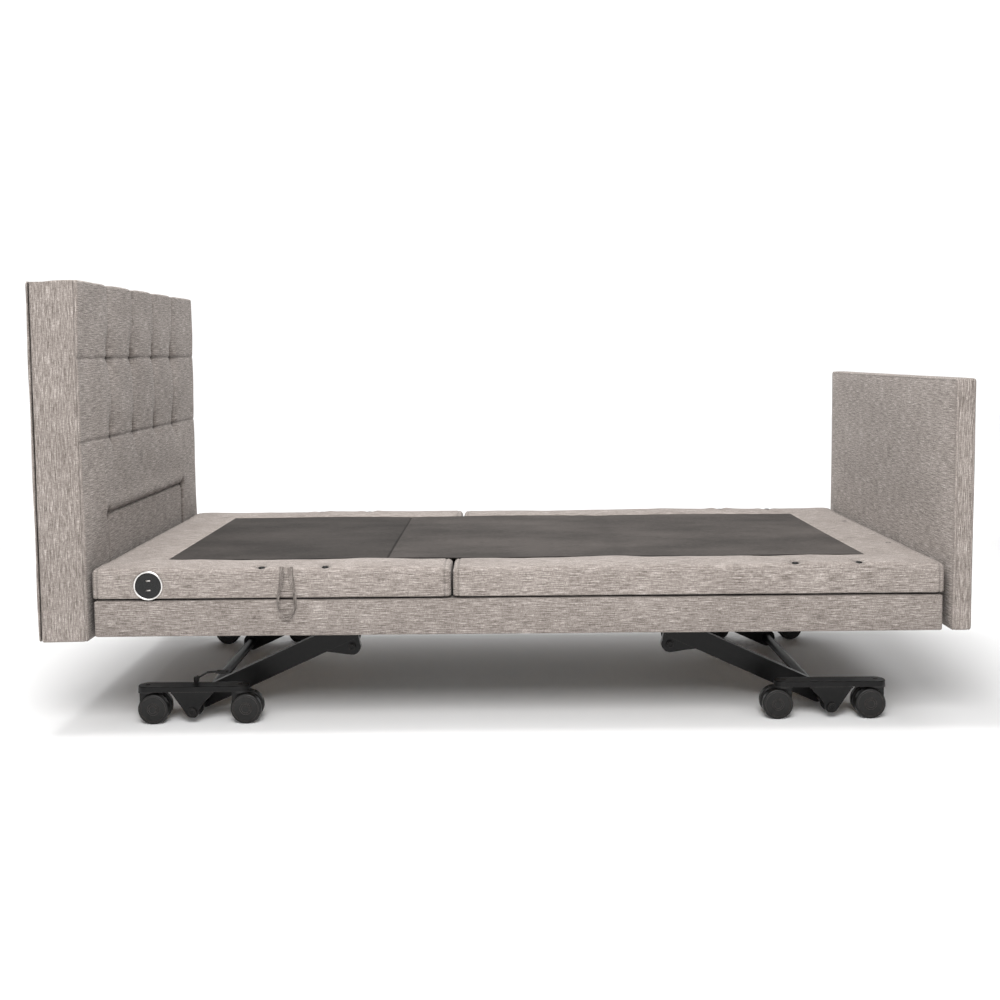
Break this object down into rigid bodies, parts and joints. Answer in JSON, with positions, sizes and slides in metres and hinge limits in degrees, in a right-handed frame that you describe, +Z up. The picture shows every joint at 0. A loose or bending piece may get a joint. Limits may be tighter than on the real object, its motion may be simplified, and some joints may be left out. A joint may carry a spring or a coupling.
{
  "type": "adjustable bed base",
  "caption": "Upholstered height-adjustable bed base with tufted headboard, footboard, hinged deck sections, lift arms and caster bogies.",
  "frame": {"origin": "on the floor, under the middle of the bed's whole length and width", "axes": "+X towards the foot end, +Y towards the far side, +Z up"},
  "size_m": [2.218, 1.1, 1.084],
  "materials": {
    "back_cloth": "matte",
    "black_steel": "satin",
    "bright_steel": "polished",
    "caster_plastic": "satin",
    "drive_plastic": "matte",
    "gloss_black": "gloss",
    "linen": "matte",
    "mat_cloth": "matte",
    "plywood": "satin",
    "webbing": "matte",
    "wheel_rubber": "matte"
  },
  "bodies": {
    "head_bogie": {"head_carriage_plates": "black_steel", "head_pivot_brackets": "black_steel", "head_carriage_screws": "black_steel"},
    "brake_lever": {"brake_lever": "black_steel"},
    "head_arms": {"head_lift_arms": "black_steel", "head_cross_tube": "black_steel", "head_torque_tube": "black_steel"},
    "chassis": {"chassis_frame": "black_steel", "arm_hangers": "black_steel", "side_rail_near": "linen", "side_rail_far": "linen", "headboard_pad": "linen", "headboard_back_panel": "back_cloth", "footboard": "linen", "board_brackets": "black_steel", "control_box": "drive_plastic", "back_drive": "drive_plastic", "leg_drive": "drive_plastic", "head_lift_drive": "drive_plastic", "foot_lift_drive": "drive_plastic"},
    "foot_arms": {"foot_lift_arms": "black_steel", "foot_cross_tube": "black_steel", "foot_torque_tube": "black_steel"},
    "foot_bogie": {"foot_carriage_plates": "black_steel", "foot_pivot_brackets": "black_steel", "foot_carriage_screws": "black_steel"},
    "back": {"back_border": "linen", "back_mat": "mat_cloth", "back_board": "plywood", "back_frame": "black_steel", "usb_insert": "gloss_black", "strap": "webbing"},
    "thigh": {"thigh_border": "linen", "thigh_mat": "mat_cloth", "thigh_board": "plywood", "thigh_frame": "black_steel"},
    "calf": {"calf_border": "linen", "calf_mat": "mat_cloth", "calf_board": "plywood", "calf_frame": "black_steel"},
    "head_lift_drive_rod": {"head_lift_drive_rod": "bright_steel"},
    "foot_lift_drive_rod": {"foot_lift_drive_rod": "bright_steel"},
    "back_drive_rod": {"back_drive_rod": "bright_steel"},
    "leg_drive_rod": {"leg_drive_rod": "bright_steel"},
    "swivel_head_near_outer": {"caster_head_near_outer": "caster_plastic"},
    "wheelset_head_near_outer": {"wheels_head_near_outer": "wheel_rubber"},
    "swivel_head_near_inner": {"caster_head_near_inner": "caster_plastic"},
    "wheelset_head_near_inner": {"wheels_head_near_inner": "wheel_rubber"},
    "swivel_head_far_outer": {"caster_head_far_outer": "caster_plastic"},
    "wheelset_head_far_outer": {"wheels_head_far_outer": "wheel_rubber"},
    "swivel_head_far_inner": {"caster_head_far_inner": "caster_plastic"},
    "wheelset_head_far_inner": {"wheels_head_far_inner": "wheel_rubber"},
    "swivel_foot_near_outer": {"caster_foot_near_outer": "caster_plastic"},
    "wheelset_foot_near_outer": {"wheels_foot_near_outer": "wheel_rubber"},
    "swivel_foot_near_inner": {"caster_foot_near_inner": "caster_plastic"},
    "wheelset_foot_near_inner": {"wheels_foot_near_inner": "wheel_rubber"},
    "swivel_foot_far_outer": {"caster_foot_far_outer": "caster_plastic"},
    "wheelset_foot_far_outer": {"wheels_foot_far_outer": "wheel_rubber"},
    "swivel_foot_far_inner": {"caster_foot_far_inner": "caster_plastic"},
    "wheelset_foot_far_inner": {"wheels_foot_far_inner": "wheel_rubber"}
  },
  "joints": [
    {"name": "hilo", "type": "hinge", "parent": "head_bogie", "child": "head_arms", "pos_m": [-0.773, 0, 0.031], "axis": [0, -1, 0], "range_deg": [-17, 50]},
    {"name": "chassis_level", "type": "hinge", "parent": "head_arms", "child": "chassis", "pos_m": [-0.393, 0, 0.159], "axis": [0, -1, 0], "range_deg": [-50, 17]},
    {"name": "foot_lift", "type": "hinge", "parent": "chassis", "child": "foot_arms", "pos_m": [0.422, 0, 0.159], "axis": [0, 1, 0], "range_deg": [-17, 50]},
    {"name": "foot_level", "type": "hinge", "parent": "foot_arms", "child": "foot_bogie", "pos_m": [0.802, 0, 0.031], "axis": [0, 1, 0], "range_deg": [-50, 17]},
    {"name": "head_drive_slide", "type": "slide", "parent": "chassis", "child": "head_lift_drive_rod", "axis": [-1, 0, 0], "range_m": [-0.01938, 0.05681]},
    {"name": "foot_drive_slide", "type": "slide", "parent": "chassis", "child": "foot_lift_drive_rod", "axis": [1, 0, 0], "range_m": [-0.01938, 0.05681]},
    {"name": "back_lift", "type": "hinge", "parent": "chassis", "child": "back", "pos_m": [-0.127, 0, 0.391], "axis": [0, 1, 0], "range_deg": [0, 62]},
    {"name": "leg_lift", "type": "hinge", "parent": "chassis", "child": "thigh", "pos_m": [-0.127, 0, 0.391], "axis": [0, -1, 0], "range_deg": [0, 32]},
    {"name": "knee", "type": "hinge", "parent": "thigh", "child": "calf", "pos_m": [0.291, 0, 0.33], "axis": [0, -1, 0], "range_deg": [-49.99, 0]},
    {"name": "back_drive_slide", "type": "slide", "parent": "chassis", "child": "back_drive_rod", "axis": [-1, 0, 0], "range_m": [0, 0.10872]},
    {"name": "leg_drive_slide", "type": "slide", "parent": "chassis", "child": "leg_drive_rod", "axis": [1, 0, 0], "range_m": [0, 0.06113]},
    {"name": "brake", "type": "hinge", "parent": "head_bogie", "child": "brake_lever", "pos_m": [-0.773, -0.396, 0.1], "axis": [0, 1, 0], "range_deg": [0, 9]},
    {"name": "swivel_head_near_outer", "type": "hinge", "parent": "head_bogie", "child": "swivel_head_near_outer", "pos_m": [-0.887, -0.426, 0.0797], "axis": [0, 0, 1], "continuous": true},
    {"name": "roll_head_near_outer", "type": "hinge", "parent": "swivel_head_near_outer", "child": "wheelset_head_near_outer", "pos_m": [-0.869, -0.426, 0.0375], "axis": [0, 1, 0], "continuous": true},
    {"name": "swivel_head_near_inner", "type": "hinge", "parent": "head_bogie", "child": "swivel_head_near_inner", "pos_m": [-0.659, -0.426, 0.0797], "axis": [0, 0, 1], "continuous": true},
    {"name": "roll_head_near_inner", "type": "hinge", "parent": "swivel_head_near_inner", "child": "wheelset_head_near_inner", "pos_m": [-0.641, -0.426, 0.0375], "axis": [0, 1, 0], "continuous": true},
    {"name": "swivel_head_far_outer", "type": "hinge", "parent": "head_bogie", "child": "swivel_head_far_outer", "pos_m": [-0.887, 0.426, 0.0797], "axis": [0, 0, 1], "continuous": true},
    {"name": "roll_head_far_outer", "type": "hinge", "parent": "swivel_head_far_outer", "child": "wheelset_head_far_outer", "pos_m": [-0.869, 0.426, 0.0375], "axis": [0, 1, 0], "continuous": true},
    {"name": "swivel_head_far_inner", "type": "hinge", "parent": "head_bogie", "child": "swivel_head_far_inner", "pos_m": [-0.659, 0.426, 0.0797], "axis": [0, 0, 1], "continuous": true},
    {"name": "roll_head_far_inner", "type": "hinge", "parent": "swivel_head_far_inner", "child": "wheelset_head_far_inner", "pos_m": [-0.641, 0.426, 0.0375], "axis": [0, 1, 0], "continuous": true},
    {"name": "swivel_foot_near_outer", "type": "hinge", "parent": "foot_bogie", "child": "swivel_foot_near_outer", "pos_m": [0.916, -0.426, 0.0797], "axis": [0, 0, 1], "continuous": true},
    {"name": "roll_foot_near_outer", "type": "hinge", "parent": "swivel_foot_near_outer", "child": "wheelset_foot_near_outer", "pos_m": [0.898, -0.426, 0.0375], "axis": [0, 1, 0], "continuous": true},
    {"name": "swivel_foot_near_inner", "type": "hinge", "parent": "foot_bogie", "child": "swivel_foot_near_inner", "pos_m": [0.688, -0.426, 0.0797], "axis": [0, 0, 1], "continuous": true},
    {"name": "roll_foot_near_inner", "type": "hinge", "parent": "swivel_foot_near_inner", "child": "wheelset_foot_near_inner", "pos_m": [0.67, -0.426, 0.0375], "axis": [0, 1, 0], "continuous": true},
    {"name": "swivel_foot_far_outer", "type": "hinge", "parent": "foot_bogie", "child": "swivel_foot_far_outer", "pos_m": [0.916, 0.426, 0.0797], "axis": [0, 0, 1], "continuous": true},
    {"name": "roll_foot_far_outer", "type": "hinge", "parent": "swivel_foot_far_outer", "child": "wheelset_foot_far_outer", "pos_m": [0.898, 0.426, 0.0375], "axis": [0, 1, 0], "continuous": true},
    {"name": "swivel_foot_far_inner", "type": "hinge", "parent": "foot_bogie", "child": "swivel_foot_far_inner", "pos_m": [0.688, 0.426, 0.0797], "axis": [0, 0, 1], "continuous": true},
    {"name": "roll_foot_far_inner", "type": "hinge", "parent": "swivel_foot_far_inner", "child": "wheelset_foot_far_inner", "pos_m": [0.67, 0.426, 0.0375], "axis": [0, 1, 0], "continuous": true}
  ],
  "couplings": [
    {"joint": "chassis_level", "follows": "hilo", "ratio": -1},
    {"joint": "foot_lift", "follows": "hilo", "ratio": 1},
    {"joint": "foot_level", "follows": "hilo", "ratio": -1},
    {"joint": "head_drive_slide", "follows": "hilo", "m_per_rad": 0.06498},
    {"joint": "foot_drive_slide", "follows": "hilo", "m_per_rad": 0.06498},
    {"joint": "knee", "follows": "leg_lift", "ratio": -1.556},
    {"joint": "back_drive_slide", "follows": "back_lift", "m_per_rad": 0.10038},
    {"joint": "leg_drive_slide", "follows": "leg_lift", "m_per_rad": 0.10927}
  ]
}
